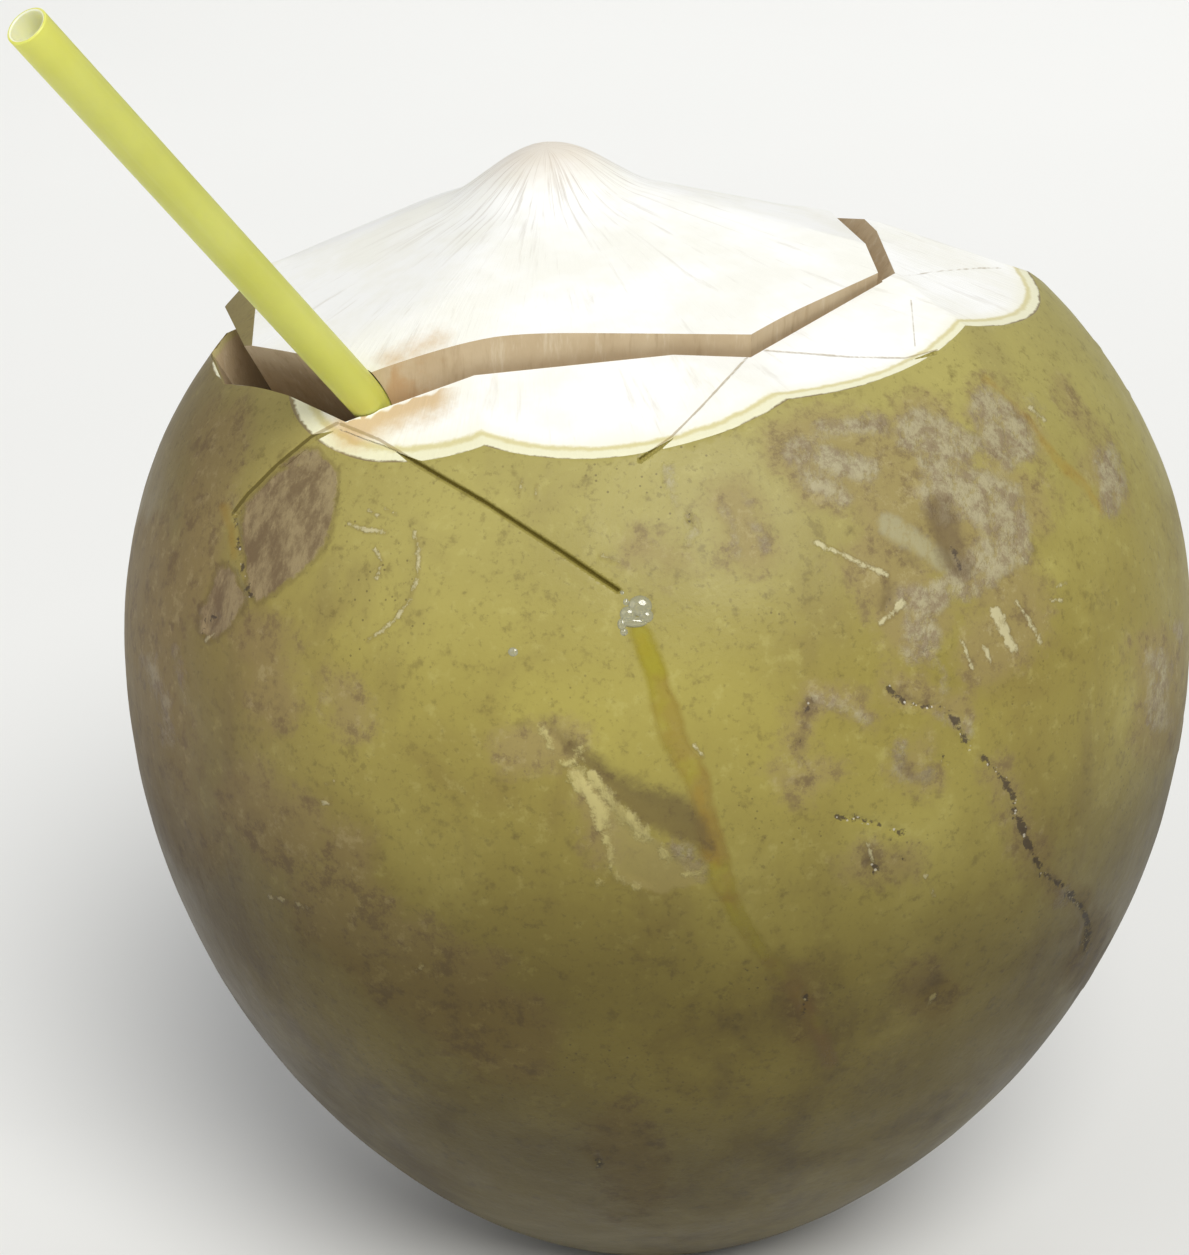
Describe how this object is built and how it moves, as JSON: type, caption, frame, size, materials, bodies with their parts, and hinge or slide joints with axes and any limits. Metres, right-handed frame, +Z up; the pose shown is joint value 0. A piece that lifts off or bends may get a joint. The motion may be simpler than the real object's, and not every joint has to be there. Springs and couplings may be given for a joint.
{
  "type": "drinking coconut",
  "caption": "Green drinking coconut with its crown shaved, the cut lid loose in the mouth and a straw leaning out of the opening.",
  "frame": {"origin": "centre of the small flat spot that the fruit rests on", "axes": "+Z up through the fruit; -Y toward the viewer of the picture, the side with the wide front of the mouth; the straw leans toward -X and -Y"},
  "size_m": [0.1693, 0.176, 0.2227],
  "materials": {
    "green_husk": "waxy olive-green skin with scuffs, pale fibrous cuts",
    "shaved_husk": "moist shaved white fibre",
    "straw_plastic": "translucent yellow-green"
  },
  "bodies": {
    "root": {"husk": "green_husk", "lid": "shaved_husk", "straw": "straw_plastic"}
  },
  "joints": []
}
